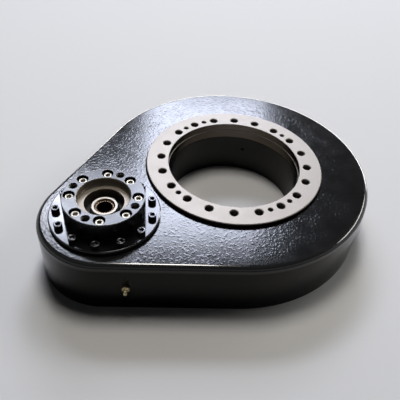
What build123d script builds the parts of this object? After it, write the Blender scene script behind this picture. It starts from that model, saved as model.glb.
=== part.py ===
from build123d import *
import os
from math import asin, cos, degrees, pi, radians, sin, sqrt, tan

# Spur-gear slew drive: a ring gear on a crossed-roller slewing bearing and a splined pinion,
# in a cast housing.  Millimetres.  +Z is up, the ring turns about the Z axis through the
# origin, the underside of the base plate is z = 0 and the pinion axis stands at -X.

# ---- gear pair ----
gear_module = 5.0
ring_teeth = 80
pinion_teeth = 20
pressure_angle = 20.0
flank_thinning = 0.12
gear_width = 42.0
pinion_overhang = 2.0

# ---- slewing ring ----
ring_step = 1.0
ring_step_depth = 13.5
ring_step_chamfer = 0.6
ring_flange_thickness = 29.5
ring_neck = 3.5
ring_neck_wall = 7.0
ring_edge_chamfer = 1.0
ring_bolt_inset = 13.0
ring_bolt_count = 20
ring_tap_r = 7.0
ring_tap_depth = 25.5
ring_tap_chamfer = 1.0
lower_bolt_count = 10
lower_bolt_inset = 9.0
jack_hole_r = 4.25
jack_hole_depth = 18.0
jack_hole_chamfer = 0.8
roller_circle_r = 147.2
roller_d = 18.0
roller_count = 30
roller_end_play = 0.5
roller_fit = 0.02
roller_spacing = 0.6
spacer_margin = 0.2
race_gap = 1.6
race_width = 26.2
race_top_gap = 4.5
track_drop = 1.5
fill_plug_r = 12.0
fill_plug_azimuth = 222.5
fill_pin_r = 2.5

# ---- housing and base plate ----
gear_chamber_gap = 11.0
flange_shoulder = 19.0
housing_wall = 22.0
roof_thickness = 14.0
housing_edge_r = 8.0
plate_thickness = 12.0
plate_lip = 4.0
plate_fit = 0.25
plate_screw_inset = 14.0
plate_ring_screws = 7
plate_pinion_screws = 3
sleeve_top_gap = 0.6
sleeve_fit = 0.1
sleeve_wall = 4.9
lower_bolt_r = 6.75
lower_tap_r = 5.1
lower_tap_depth = 22.0
transport_screw_count = 2
grease_port_r = 3.0
grease_port_azimuth = 42.5
ring_opening_gap = 1.2
ring_opening_chamfer = 0.8
ring_seal_depth = 5.0
ring_seal_height = 8.0
ring_seal_bevel = 3.0
seal_lip_gap = 0.1
inner_seal_inset = 8.0
inner_seal_width = 5.0
inner_seal_sink = 2.0

# ---- pinion bearings, 45 x 85 x 19 cylindrical roller ----
bearing_bore_r = 22.5
bearing_inner_wall = 4.9
bearing_outer_wall = 5.1
bearing_width = 19.0
bearing_roller_d = 10.0
bearing_roller_length = 10.0
bearing_roller_count = 10
bearing_flange_height = 2.5
cage_gap = 0.3
cage_wall = 2.8
cage_side_gap = 1.0
bearing_fit = 0.05
pocket_floor = 4.0
boss_wall = 9.5
boss_step = 1.0
boss_to_gear = 7.0
bearing_relief = 1.0

# ---- pinion shaft ----
hub_r = 21.0
hub_stand = 10.5
shaft_shoulder_r = 28.0
shaft_chamfer = 1.0
upper_shoulder = 1.5
spline_teeth = 21
spline_major_r = 14.0
spline_minor_r = 12.5
spline_length = 46.0
spline_mouth_r = 16.3
spline_relief = 6.0
spline_root_share = 0.30
spline_tip_share = 0.18
spline_mouth_step = 0.5
spline_mouth_relief = 0.2

# ---- motor flange and adapter ----
flange_margin = 11.5
flange_thickness = 7.0
flange_edge_r = 1.5
spigot_wall = 5.5
spigot_fit = 0.05
flange_lip = 3.0
flange_head_gap = 5.5
flange_bolt_count = 13
flange_bolt_first = -14.75
flange_seal_section = 2.4
flange_seal_drop = 8.0
shaft_seal_r = 31.0
shaft_seal_width = 7.0
shaft_seal_sink = 0.5
shaft_seal_lip = 3.0
shaft_lip_gap = 6.0
adapter_rim = 11.0
adapter_height = 31.5
adapter_chamfer = 0.8
pilot_r = 41.25
pilot_depth = 11.6
pilot_relief_step = 1.05
pilot_relief_depth = 2.0
adapter_bolt_inset = 11.25
adapter_bolt_count = 8
adapter_bolt_first = 58.0
head_sink = 3.5
counterbore_r = 9.0
motor_bolt_inset = 11.95
motor_tap_r = 5.1
motor_tap_depth = 24.0
motor_tap_chamfer = 1.8

# ---- screws, pins and grease nipple ----
m8_head_r = 6.5
m8_head_height = 8.0
m8_shank_r = 3.9
m8_tap_r = 4.0
m8_clear_r = 4.5
m8_countersunk_r = 8.0
adapter_screw_length = 45.0
flange_screw_length = 25.0
plate_screw_length = 30.0
transport_screw_length = 25.0
tap_overrun = 2.0
dowel_r = 4.0
dowel_length = 24.0
dowel_fit = 0.03
dowel_end_gap = 1.0
dowel_beside_screw = 1.5
nipple_from_tangent = 173.0
nipple_height = 51.0
nipple_hex = 11.0
nipple_hex_height = 5.5
nipple_thread_r = 4.9
nipple_thread_length = 8.0
nipple_neck_r = 2.3
nipple_ball_r = 3.3
nipple_tip_length = 9.5
nipple_port_r = 2.0
nipple_thread_gap = 0.2
nipple_waist = 1.0
nipple_ball_cone = 1.2
nipple_ball_band = 1.3
nipple_nose = 1.9
nipple_nose_r = 1.4
thread_fit = 0.1

# ---- derived places ----
centre_distance = gear_module * (ring_teeth + pinion_teeth) / 2
pinion_x = -centre_distance
boss_top = pocket_floor + bearing_width
gear_bottom = boss_top + boss_to_gear
gear_top = gear_bottom + gear_width
flange_under = gear_top + ring_neck
ring_face = flange_under + ring_flange_thickness
pinion_bottom = gear_bottom - pinion_overhang
pinion_top = gear_top + pinion_overhang
carrier_bottom = pinion_top + upper_shoulder
carrier_lip = carrier_bottom + bearing_width
seal_seat = carrier_lip + flange_lip
flange_top = seal_seat + shaft_seal_width + shaft_seal_sink
housing_top = flange_top - flange_thickness
roof_under = housing_top - roof_thickness
adapter_top = flange_top + adapter_height
hub_top = flange_top + hub_stand
pilot_step = adapter_top - pilot_depth
adapter_seat = pilot_step - pilot_relief_depth
counterbore_seat = adapter_top - head_sink - m8_head_height
race_top = flange_under - race_top_gap
sleeve_top = flange_under - sleeve_top_gap
inner_race_bore_r = roller_circle_r - race_width
sleeve_r = inner_race_bore_r - sleeve_fit
bore_r = sleeve_r - sleeve_wall
ring_bore_r = bore_r + ring_step
ring_bolt_circle_r = ring_bore_r + ring_bolt_inset
lower_bolt_circle_r = inner_race_bore_r + lower_bolt_inset
inner_seal_r = inner_race_bore_r + inner_seal_inset
groove_side = roller_d + 2 * roller_fit
groove_reach = groove_side / sqrt(2)
race_outer_r = roller_circle_r - race_gap / 2
ring_race_r = roller_circle_r + race_gap / 2
ring_outer_r = ring_race_r + ring_neck_wall
track_z = (gear_bottom + race_top) / 2 - track_drop
inner_track = bearing_bore_r + bearing_inner_wall
bearing_outer_r = inner_track + bearing_roller_d + bearing_outer_wall
pilot_relief_r = pilot_r - pilot_relief_step
adapter_bolt_circle_r = pilot_r + adapter_bolt_inset
motor_bolt_circle_r = pilot_r + motor_bolt_inset
adapter_r = adapter_bolt_circle_r + adapter_rim
flange_bolt_circle_r = adapter_r + m8_head_r + flange_head_gap
spigot_r = flange_bolt_circle_r - spigot_wall
flange_r = flange_bolt_circle_r + flange_margin
ring_tip_r = gear_module * (ring_teeth + 2) / 2
housing_ring_r = ring_tip_r + gear_chamber_gap + housing_wall
housing_pinion_r = flange_r + flange_shoulder
adapter_tap_angle = adapter_bolt_first - 180 / adapter_bolt_count
lean = degrees(asin((housing_ring_r - housing_pinion_r) / centre_distance))
tangent_angle = 90 + lean
wall_direction = (cos(radians(lean)), -sin(radians(lean)))
wall_normal = (-sin(radians(lean)), -cos(radians(lean)))
BASE = (Align.CENTER, Align.CENTER, Align.MIN)


def turned(points, x=0.0):
    """Solid of revolution about the vertical axis at x, from (radius, height) points."""
    face = make_face(Plane.XZ * Polyline(*points, close=True))
    return Pos(x, 0, 0) * revolve(face, Axis.Z)


def tube(outer, inner, low, high, x=0.0):
    """Ring with square corners between two heights."""
    return turned([(inner, low), (outer, low), (outer, high), (inner, high)], x)


def rod(radius, low, high):
    """Upright cylinder between two heights on the local axis."""
    return Pos(0, 0, low) * Cylinder(radius, high - low, align=BASE)


def tapped_hole(radius, chamfer, low, high):
    """Blind hole on the local axis from low to high, with a chamfered mouth at high."""
    return turned([
        (0, low), (radius, low), (radius, high - chamfer), (radius + chamfer, high), (0, high),
    ])


def around(x, radius, count, first=0.0):
    """Places on a bolt circle about the vertical axis at x, each turned to face outward."""
    return [Pos(x, 0, 0) * place for place in PolarLocations(radius, count, first)]


def at_angles(radius, angles):
    """Places on a circle about the ring axis at the given azimuths."""
    return [Rot(0, 0, angle) * Pos(radius, 0, 0) for angle in angles]


def teardrop(inset=0.0):
    """Housing outline: ring-end and pinion-end arcs joined by their common tangents."""
    wide = housing_ring_r - inset
    narrow = housing_pinion_r - inset
    ring_arc = CenterArc((0, 0), wide, -tangent_angle, 2 * tangent_angle)
    pinion_arc = CenterArc((pinion_x, 0), narrow, tangent_angle, 360 - 2 * tangent_angle)
    upper = Line(ring_arc @ 1, pinion_arc @ 0)
    lower = Line(pinion_arc @ 1, ring_arc @ 0)
    return make_face(Wire([ring_arc, upper, pinion_arc, lower]))


def slab(inset, low, high):
    """Outline-shaped solid between two heights."""
    return Pos(0, 0, low) * extrude(teardrop(inset), high - low)


def plate_screw_places():
    """Screw places along the housing wall, evenly round each arc between its tangent points."""
    wide = housing_ring_r - plate_screw_inset
    narrow = housing_pinion_r - plate_screw_inset
    ring_step_angle = 2 * tangent_angle / (plate_ring_screws - 1)
    pinion_step_angle = (360 - 2 * tangent_angle) / (plate_pinion_screws - 1)
    places = [
        Rot(0, 0, -tangent_angle + step * ring_step_angle) * Pos(wide, 0, 0)
        for step in range(plate_ring_screws)
    ]
    places += [
        Pos(pinion_x, 0, 0) * Rot(0, 0, tangent_angle + step * pinion_step_angle)
        * Pos(narrow, 0, 0)
        for step in range(plate_pinion_screws)
    ]
    return places


def dowel_places():
    """Two dowels on the wall line, beside the end screws."""
    wide = housing_ring_r - plate_screw_inset
    beside = dowel_beside_screw * degrees(m8_countersunk_r * 2 / wide)
    return [Rot(0, 0, side * (tangent_angle - beside)) * Pos(wide, 0, 0) for side in (1, -1)]


def involute_polar(base_radius, radius, half_angle_at_base):
    """Point of an involute flank at a radius, as x and y."""
    roll = sqrt(max((radius / base_radius) ** 2 - 1, 0))
    turn = half_angle_at_base - (roll - atan_of(roll))
    return (radius * cos(turn), radius * sin(turn))


def atan_of(value):
    """Angle whose tangent is value, by the half-angle form that keeps small values exact."""
    return 2 * asin(value / sqrt(2 * (1 + value ** 2 + sqrt(1 + value ** 2))))


def gear_face(teeth, first_tooth):
    """Involute spur gear outline with a tooth centred on the angle first_tooth."""
    pitch_r = gear_module * teeth / 2
    base_r = pitch_r * cos(radians(pressure_angle))
    tip_r = pitch_r + gear_module
    root_r = pitch_r - 1.25 * gear_module
    start_r = max(base_r, root_r)
    involute = tan(radians(pressure_angle)) - radians(pressure_angle)
    half = pi / (2 * teeth) - flank_thinning / (2 * pitch_r) + involute
    radii = [start_r, (start_r + tip_r) / 2, tip_r]
    flank = [involute_polar(base_r, radius, half) for radius in radii]
    mirrored = [(x, -y) for x, y in flank]
    foot = (root_r * cos(atan2_of(flank[0])), root_r * sin(atan2_of(flank[0])))
    gap_angle = 2 * pi / teeth
    next_foot = turned_point((foot[0], -foot[1]), gap_angle)
    valley = turned_point((root_r, 0), gap_angle / 2)
    edges = [
        ThreePointArc(*mirrored),
        ThreePointArc(mirrored[-1], (tip_r, 0), flank[-1]),
        ThreePointArc(*reversed(flank)),
    ]
    if root_r < start_r:
        edges.insert(0, Line((foot[0], -foot[1]), mirrored[0]))
        edges.append(Line(flank[0], foot))
    edges.append(ThreePointArc(foot, valley, next_foot))
    tooth = Wire(edges)
    pitch = 360 / teeth
    wires = [Rot(0, 0, first_tooth + pitch * index) * tooth for index in range(teeth)]
    loop = [edge for wire in wires for edge in wire.edges()]
    return make_face(Wire(loop))


def atan2_of(point):
    """Polar angle of a point near the X axis."""
    return asin(point[1] / sqrt(point[0] ** 2 + point[1] ** 2))


def turned_point(point, angle):
    """Point turned about the origin by an angle in radians."""
    x, y = point
    return (x * cos(angle) - y * sin(angle), x * sin(angle) + y * cos(angle))


def spline_face():
    """Internal spline outline: a bore with straight-sided grooves."""
    points = []
    pitch = 2 * pi / spline_teeth
    for index in range(spline_teeth):
        start = index * pitch
        for radius, share in (
            (spline_minor_r, -spline_root_share),
            (spline_major_r, -spline_tip_share),
            (spline_major_r, spline_tip_share),
            (spline_minor_r, spline_root_share),
        ):
            points.append(turned_point((radius, 0), start + share * pitch))
    return make_face(Polyline(*points, close=True))


def groove_diamond(shrink=0.0):
    """Square roller channel stood on its corner, as a turned ring."""
    reach = groove_reach - shrink
    corners = [
        (roller_circle_r - reach, track_z),
        (roller_circle_r, track_z - reach),
        (roller_circle_r + reach, track_z),
        (roller_circle_r, track_z + reach),
    ]
    return turned(corners)


def cap_screw(seat, length):
    """Socket cap screw: head above its seat, shank below."""
    return rod(m8_head_r, seat, seat + m8_head_height) + rod(m8_shank_r, seat - length, seat)


def countersunk_profile(radius_extra, length):
    """Cone and shank of a countersunk screw driven from z = 0 upward."""
    head_r = m8_countersunk_r + radius_extra
    shank_r = m8_shank_r + radius_extra
    cone = head_r - shank_r
    return [(0, 0), (head_r, 0), (shank_r, cone), (shank_r, length), (0, length)]


def bearing(low):
    """Cylindrical roller bearing on the pinion axis: inner, outer, rollers and cage."""
    high = low + bearing_width
    pitch_r = inner_track + bearing_roller_d / 2
    outer_track = bearing_outer_r - bearing_outer_wall
    roller_low = low + (bearing_width - bearing_roller_length) / 2
    roller_high = roller_low + bearing_roller_length
    side = bearing_fit * 2
    outer_lip = outer_track - bearing_flange_height
    inner = tube(inner_track, bearing_bore_r, low, high, pinion_x)
    outer = turned([
        (bearing_outer_r, low), (bearing_outer_r, high), (outer_lip, high),
        (outer_lip, roller_high + side), (outer_track, roller_high + side),
        (outer_track, roller_low - side), (outer_lip, roller_low - side), (outer_lip, low),
    ], pinion_x)
    places = around(pinion_x, pitch_r, bearing_roller_count)
    roller_r = bearing_roller_d / 2 - bearing_fit
    rollers = [place * rod(roller_r, roller_low, roller_high) for place in places]
    cage_low = low + cage_side_gap
    cage_high = high - cage_side_gap
    cage = tube(outer_lip - cage_gap, inner_track + cage_wall, cage_low, cage_high, pinion_x)
    pocket = Box(
        bearing_roller_d, 2 * roller_r + cage_gap, bearing_roller_length + 2 * cage_gap
    )
    pockets = [place * Pos(0, 0, (low + high) / 2) * pocket for place in places]
    cage -= pockets
    return inner, outer, Compound(children=rollers), cage


def on_wall(shape, out):
    """Place a shape built along +X onto the front flat wall, out from its outer face."""
    away = housing_ring_r + out
    x = wall_normal[0] * away - wall_direction[0] * nipple_from_tangent
    y = wall_normal[1] * away - wall_direction[1] * nipple_from_tangent
    return Pos(x, y, nipple_height) * Rot(0, 0, -tangent_angle) * shape


def along_x(radius, start, end):
    """Cylinder along +X from start to end."""
    return Pos(start, 0, 0) * Rot(0, 90, 0) * Cylinder(radius, end - start, align=BASE)


# ---- cast housing ----
flange_places = around(pinion_x, flange_bolt_circle_r, flange_bolt_count, flange_bolt_first)
plate_places = plate_screw_places()
opening_r = ring_outer_r + ring_opening_gap
ring_seal_r = opening_r + ring_seal_depth
housing = slab(0, 0, housing_top)
housing = fillet(housing.faces().sort_by(Axis.Z)[-1].outer_wire().edges(), housing_edge_r)
housing -= slab(housing_wall, 0, roof_under)
housing -= slab(plate_lip, 0, plate_thickness)
housing += Pos(pinion_x, 0, 0) * rod(flange_r - boss_step, carrier_bottom, roof_under)
housing -= [
    tapped_hole(opening_r, ring_opening_chamfer, 0, housing_top),
    rod(ring_seal_r, 0, roof_under + ring_seal_height),
    Pos(pinion_x, 0, 0) * rod(spigot_r + spigot_fit, 0, housing_top),
]
flange_tap_end = flange_top - flange_screw_length - tap_overrun
plate_tap_end = plate_screw_length + tap_overrun
housing -= [place * rod(m8_tap_r, flange_tap_end, housing_top) for place in flange_places]
housing -= [place * rod(m8_tap_r, plate_thickness, plate_tap_end) for place in plate_places]
housing -= [place * rod(dowel_r + dowel_fit, 0, dowel_length) for place in dowel_places()]
housing -= on_wall(along_x(nipple_port_r, -housing_wall, 0), 0)
housing -= on_wall(along_x(nipple_thread_r + thread_fit, -nipple_thread_length, 0), 0)

# ---- base plate with hub sleeve and lower bearing pocket ----
lower_angles = [360 / lower_bolt_count * index for index in range(lower_bolt_count)]
transport_step = 360 / transport_screw_count
transport_angles = [
    180 / lower_bolt_count + transport_step * index for index in range(transport_screw_count)
]
base_plate = slab(plate_lip + plate_fit, 0, plate_thickness)
base_plate += rod(sleeve_r, 0, sleeve_top)
base_plate += Pos(pinion_x, 0, 0) * rod(bearing_outer_r + boss_wall, 0, boss_top)
port = Rot(0, 0, grease_port_azimuth) * Pos(0, 0, track_z)
port_end = roller_circle_r - groove_reach + grease_port_r
base_plate -= [
    rod(bore_r, 0, sleeve_top),
    Pos(pinion_x, 0, 0) * rod(bearing_outer_r + bearing_fit, pocket_floor, boss_top),
    Pos(pinion_x, 0, 0)
    * rod(bearing_outer_r - 2 * bearing_flange_height, pocket_floor - bearing_relief, boss_top),
    port * along_x(grease_port_r, bore_r - sleeve_wall, inner_race_bore_r),
]
base_plate -= [
    place * rod(lower_bolt_r, 0, plate_thickness)
    for place in at_angles(lower_bolt_circle_r, lower_angles)
]
countersink = turned(countersunk_profile(m8_clear_r - m8_shank_r, plate_thickness))
transport_places = at_angles(lower_bolt_circle_r, transport_angles)
base_plate -= [place * countersink for place in plate_places + transport_places]
base_plate -= [place * rod(dowel_r + dowel_fit, 0, plate_thickness) for place in dowel_places()]
plate_screw = turned(countersunk_profile(0, plate_screw_length))
transport_screw = turned(countersunk_profile(0, transport_screw_length))
plate_screws = [place * plate_screw for place in plate_places]
transport_screws = [place * transport_screw for place in transport_places]
dowels = [place * rod(dowel_r, 0, dowel_length - dowel_end_gap) for place in dowel_places()]

# ---- fixed inner race with its filling plug ----
inner_race = tube(race_outer_r, inner_race_bore_r, plate_thickness, race_top)
inner_race -= groove_diamond()
half_seal = inner_seal_width / 2
seal_floor = race_top - inner_seal_sink
inner_race -= tube(inner_seal_r + half_seal, inner_seal_r - half_seal, seal_floor, race_top)
inner_race -= [
    place * rod(lower_tap_r, plate_thickness, plate_thickness + lower_tap_depth)
    for place in at_angles(lower_bolt_circle_r, lower_angles)
]
transport_end = transport_screw_length + tap_overrun
inner_race -= [place * rod(m8_tap_r, plate_thickness, transport_end) for place in transport_places]
inner_race -= port * along_x(grease_port_r, sleeve_r, port_end)
plug_place = Rot(0, 0, fill_plug_azimuth) * Pos(0, 0, track_z)
plug_core = plug_place * along_x(fill_plug_r, sleeve_r, roller_circle_r)
plug_bore = plug_place * along_x(fill_plug_r + dowel_fit, sleeve_r, roller_circle_r)
pin_r = inner_race_bore_r + fill_plug_r / 2
pin_place = Rot(0, 0, fill_plug_azimuth) * Pos(pin_r, 0, 0)
pin_bottom = track_z - fill_plug_r / 2
fill_plug = inner_race & plug_core
inner_race -= plug_bore
pin_hole = pin_place * rod(fill_pin_r + dowel_fit, pin_bottom, race_top)
fill_plug -= pin_hole
inner_race -= pin_hole
fill_pin = pin_place * rod(fill_pin_r, pin_bottom, seal_floor - dowel_fit)
inner_seal_r_in = inner_seal_r - half_seal + sleeve_fit
inner_seal_r_out = inner_seal_r + half_seal - sleeve_fit
inner_seal = turned([
    (inner_seal_r_in, seal_floor), (inner_seal_r_out, seal_floor), (inner_seal_r_out, race_top),
    (inner_seal_r, flange_under - seal_lip_gap), (inner_seal_r_in, race_top),
])

# ---- crossed rollers and their spacers ----
roller_pitch = 360 / roller_count
spacer_circle_r = roller_circle_r - groove_reach
spacer_thickness = 2 * pi * spacer_circle_r / roller_count - roller_d - roller_spacing
rollers = []
spacers = []
for index in range(roller_count):
    tilt = 45 if index % 2 == 0 else -45
    seat = Rot(0, 0, roller_pitch * index) * Pos(roller_circle_r, 0, track_z)
    roller = Cylinder(roller_d / 2, roller_d - roller_end_play)
    rollers.append(seat * Rot(0, tilt, 0) * roller)
    gap = Rot(0, 0, roller_pitch * (index + 0.5)) * Pos(roller_circle_r, 0, track_z)
    block_side = roller_d - 2 * spacer_margin
    block = Box(block_side, spacer_thickness, block_side)
    spacers.append(gap * Rot(0, 45, 0) * block)

# ---- ring gear: output flange and external teeth in one forging ----
ring_gear = Pos(0, 0, gear_bottom) * extrude(gear_face(ring_teeth, 180), gear_width)
ring_gear += turned([
    (0, gear_top), (ring_outer_r, gear_top), (ring_outer_r, ring_face - ring_edge_chamfer),
    (ring_outer_r - ring_edge_chamfer, ring_face), (0, ring_face),
])
ring_gear -= turned([
    (0, gear_bottom), (ring_race_r, gear_bottom), (ring_race_r, flange_under),
    (bore_r, flange_under), (bore_r, ring_face - ring_step_depth - ring_step_chamfer),
    (bore_r + ring_step_chamfer, ring_face - ring_step_depth),
    (ring_bore_r, ring_face - ring_step_depth), (ring_bore_r, ring_face), (0, ring_face),
])
ring_gear -= groove_diamond()
ring_gear -= [
    place * tapped_hole(ring_tap_r, ring_tap_chamfer, ring_face - ring_tap_depth, ring_face)
    for place in around(0, ring_bolt_circle_r, ring_bolt_count)
]
half_step = 180 / ring_bolt_count
jack_angles = [90 * quarter + half_step for quarter in range(4)]
jack_angles += [90 - half_step, 270 - half_step]
ring_gear -= [
    place * tapped_hole(jack_hole_r, jack_hole_chamfer, ring_face - jack_hole_depth, ring_face)
    for place in at_angles(ring_bolt_circle_r, jack_angles)
]

# ---- ring seal in the housing opening ----
ring_seal_low = roof_under
ring_seal_high = roof_under + ring_seal_height
ring_seal = turned([
    (ring_seal_r - sleeve_fit, ring_seal_low), (ring_seal_r - sleeve_fit, ring_seal_high),
    (opening_r, ring_seal_high),
    (ring_outer_r + seal_lip_gap, ring_seal_high - ring_seal_bevel),
    (opening_r, ring_seal_low),
])

# ---- pinion shaft ----
journal_r = bearing_bore_r - bearing_fit
shaft_bottom = pocket_floor + bearing_relief / 2
journal_top = carrier_lip + bearing_relief / 2
spline_top = hub_top - (spline_mouth_r - spline_major_r) - spline_mouth_step
mouth_r = spline_major_r + spline_mouth_relief
spline_bottom = spline_top - spline_length
pinion_shaft = Pos(0, 0, pinion_bottom) * extrude(
    gear_face(pinion_teeth, 180 / pinion_teeth), pinion_top - pinion_bottom
)
pinion_shaft += turned([
    (0, shaft_bottom), (journal_r - shaft_chamfer, shaft_bottom),
    (journal_r, shaft_bottom + shaft_chamfer),
    (journal_r, boss_top), (shaft_shoulder_r, boss_top), (shaft_shoulder_r, carrier_bottom),
    (journal_r, carrier_bottom), (journal_r, journal_top), (hub_r, journal_top),
    (hub_r, hub_top - shaft_chamfer), (hub_r - shaft_chamfer, hub_top), (0, hub_top),
])
pinion_shaft -= turned([
    (0, spline_bottom - spline_relief), (spline_major_r, spline_bottom - spline_relief),
    (spline_major_r, spline_bottom), (0, spline_bottom),
])
pinion_shaft -= Pos(0, 0, spline_bottom) * extrude(spline_face(), spline_length)
pinion_shaft -= turned([
    (0, spline_top), (mouth_r, spline_top), (mouth_r, spline_top + spline_mouth_step),
    (spline_mouth_r, hub_top), (0, hub_top),
])
pinion_shaft = Pos(pinion_x, 0, 0) * pinion_shaft

# ---- pinion bearings ----
lower_inner, lower_outer, lower_rollers, lower_cage = bearing(pocket_floor)
upper_inner, upper_outer, upper_rollers, upper_cage = bearing(carrier_bottom)

# ---- motor flange: bearing carrier, seal seat and screw circle ----
carrier_r = bearing_outer_r + bearing_fit
relief_r = bearing_outer_r - 2 * bearing_flange_height
lip_r = hub_r + shaft_lip_gap
flange_seal_low = housing_top - flange_seal_drop
flange_seal_high = flange_seal_low + flange_seal_section
motor_flange = turned([
    (carrier_r, carrier_bottom), (spigot_r, carrier_bottom), (spigot_r, flange_seal_low),
    (spigot_r - flange_seal_section, flange_seal_low),
    (spigot_r - flange_seal_section, flange_seal_high), (spigot_r, flange_seal_high),
    (spigot_r, housing_top), (flange_r, housing_top), (flange_r, flange_top - flange_edge_r),
    (flange_r - flange_edge_r, flange_top), (shaft_seal_r, flange_top),
    (shaft_seal_r, seal_seat), (lip_r, seal_seat), (lip_r, carrier_lip + bearing_relief),
    (relief_r, carrier_lip + bearing_relief), (relief_r, carrier_lip), (carrier_r, carrier_lip),
])
adapter_places = around(pinion_x, adapter_bolt_circle_r, adapter_bolt_count, adapter_bolt_first)
adapter_tap_end = counterbore_seat - adapter_screw_length - tap_overrun
motor_flange = Pos(pinion_x, 0, 0) * motor_flange
motor_flange -= [place * rod(m8_clear_r, housing_top, flange_top) for place in flange_places]
motor_flange -= [place * rod(m8_tap_r, adapter_tap_end, flange_top) for place in adapter_places]
flange_screws = [place * cap_screw(flange_top, flange_screw_length) for place in flange_places]
flange_seal = tube(
    spigot_r, spigot_r - flange_seal_section + sleeve_fit,
    flange_seal_low, flange_seal_high - sleeve_fit, pinion_x,
)
seal_outer = shaft_seal_r - bearing_fit
seal_high = seal_seat + shaft_seal_width
shaft_seal = turned([
    (seal_outer, seal_seat), (seal_outer, seal_high), (hub_r + shaft_seal_lip, seal_high),
    (hub_r + seal_lip_gap, seal_high - shaft_seal_lip), (lip_r, seal_seat),
], pinion_x)

# ---- motor adapter ----
motor_adapter = turned([
    (shaft_seal_r, flange_top), (adapter_r, flange_top), (adapter_r, adapter_top - adapter_chamfer),
    (adapter_r - adapter_chamfer, adapter_top), (pilot_r + adapter_chamfer, adapter_top),
    (pilot_r, adapter_top - adapter_chamfer), (pilot_r, pilot_step),
    (pilot_relief_r, pilot_step), (pilot_relief_r, adapter_seat), (shaft_seal_r, adapter_seat),
], pinion_x)
motor_adapter -= [place * rod(m8_clear_r, flange_top, counterbore_seat) for place in adapter_places]
motor_adapter -= [
    place * rod(counterbore_r, counterbore_seat, adapter_top) for place in adapter_places
]
motor_places = around(pinion_x, motor_bolt_circle_r, 4, adapter_tap_angle)
motor_tap = tapped_hole(
    motor_tap_r, motor_tap_chamfer, adapter_top - motor_tap_depth, adapter_top
)
motor_adapter -= [place * motor_tap for place in motor_places]
adapter_screws = [
    place * cap_screw(counterbore_seat, adapter_screw_length) for place in adapter_places
]

# ---- grease nipple ----
hexagon = Plane.YZ * RegularPolygon(nipple_hex / 2, 6, major_radius=False)
nipple = extrude(hexagon, nipple_hex_height)
nipple += along_x(nipple_thread_r, nipple_thread_gap - nipple_thread_length, 0)
tip_end = nipple_hex_height + nipple_tip_length
nose_low = tip_end - nipple_nose
ball_low = nose_low - nipple_ball_band
neck_high = ball_low - nipple_ball_cone
tip = [
    (0, nipple_hex_height), (nipple_ball_r, nipple_hex_height),
    (nipple_neck_r, neck_high - nipple_waist), (nipple_neck_r, neck_high),
    (nipple_ball_r, ball_low), (nipple_ball_r, nose_low), (nipple_nose_r, tip_end), (0, tip_end),
]
nipple += Rot(0, 90, 0) * turned(tip)
nipple = on_wall(nipple, 0)

parts = {
    "housing": housing,
    "base_plate": base_plate,
    "base_plate_screws": Compound(children=plate_screws),
    "base_plate_dowels": Compound(children=dowels),
    "inner_race": inner_race,
    "race_transport_screws": Compound(children=transport_screws),
    "race_filling_plug": fill_plug,
    "filling_plug_pin": fill_pin,
    "inner_race_seal": inner_seal,
    "ring_seal": ring_seal,
    "crossed_rollers": Compound(children=rollers),
    "roller_spacers": Compound(children=spacers),
    "ring_gear": ring_gear,
    "pinion_shaft": pinion_shaft,
    "lower_bearing_inner_ring": lower_inner,
    "lower_bearing_outer_ring": lower_outer,
    "lower_bearing_rollers": lower_rollers,
    "lower_bearing_cage": lower_cage,
    "upper_bearing_inner_ring": upper_inner,
    "upper_bearing_outer_ring": upper_outer,
    "upper_bearing_rollers": upper_rollers,
    "upper_bearing_cage": upper_cage,
    "motor_flange": motor_flange,
    "motor_flange_screws": Compound(children=flange_screws),
    "motor_flange_seal": flange_seal,
    "shaft_seal": shaft_seal,
    "motor_adapter": motor_adapter,
    "motor_adapter_screws": Compound(children=adapter_screws),
    "grease_nipple": nipple,
}
os.makedirs("parts", exist_ok=True)
for name, shape in parts.items():
    export_step(shape, os.path.join("parts", name + ".step"))
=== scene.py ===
"""Spur-gear slew drive: finishes, fasteners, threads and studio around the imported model.

Everything is in metres in the frame of the solids: +Z up, the ring turns about the Z axis
through the origin and the pinion axis stands at -X. Fasteners and threads are drawn in
millimetres and scaled as their shells are made.
"""

import logging
from dataclasses import dataclass, field
from enum import Enum
from math import cos, pi, radians, sin
from typing import Any

import bpy
import numpy as np
from mathutils import Matrix, Vector


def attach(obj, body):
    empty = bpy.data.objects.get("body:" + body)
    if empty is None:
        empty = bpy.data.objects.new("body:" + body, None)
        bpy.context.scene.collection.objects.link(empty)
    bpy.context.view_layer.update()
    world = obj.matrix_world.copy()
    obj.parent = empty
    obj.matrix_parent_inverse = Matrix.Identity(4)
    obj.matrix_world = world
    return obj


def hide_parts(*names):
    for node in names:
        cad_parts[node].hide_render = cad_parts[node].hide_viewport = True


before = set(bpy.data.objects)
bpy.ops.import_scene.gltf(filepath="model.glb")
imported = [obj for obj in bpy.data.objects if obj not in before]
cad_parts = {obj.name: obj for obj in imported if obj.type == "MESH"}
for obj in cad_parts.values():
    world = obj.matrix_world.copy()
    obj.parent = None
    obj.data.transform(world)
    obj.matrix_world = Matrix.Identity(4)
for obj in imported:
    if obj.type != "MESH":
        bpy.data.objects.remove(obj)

log = logging.getLogger("slew_drive")

MM = 0.001
PINION_X = -0.250
HOUSING_TOP = 0.098
BOLT_CIRCLE_R = 0.130

# Nearly all of a noise lies in this span, so a ramp across it uses its whole result.
NOISE_SPAN = (0.3, 0.7)

# Bands of radius or height that hold no part of the drive, and all of it.
NOWHERE = (9.0, 9.1)
EVERYWHERE = (-9.0, 9.0)


# --------------------------------------------------------------------------------------
# Colour and node helpers
# --------------------------------------------------------------------------------------


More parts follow.
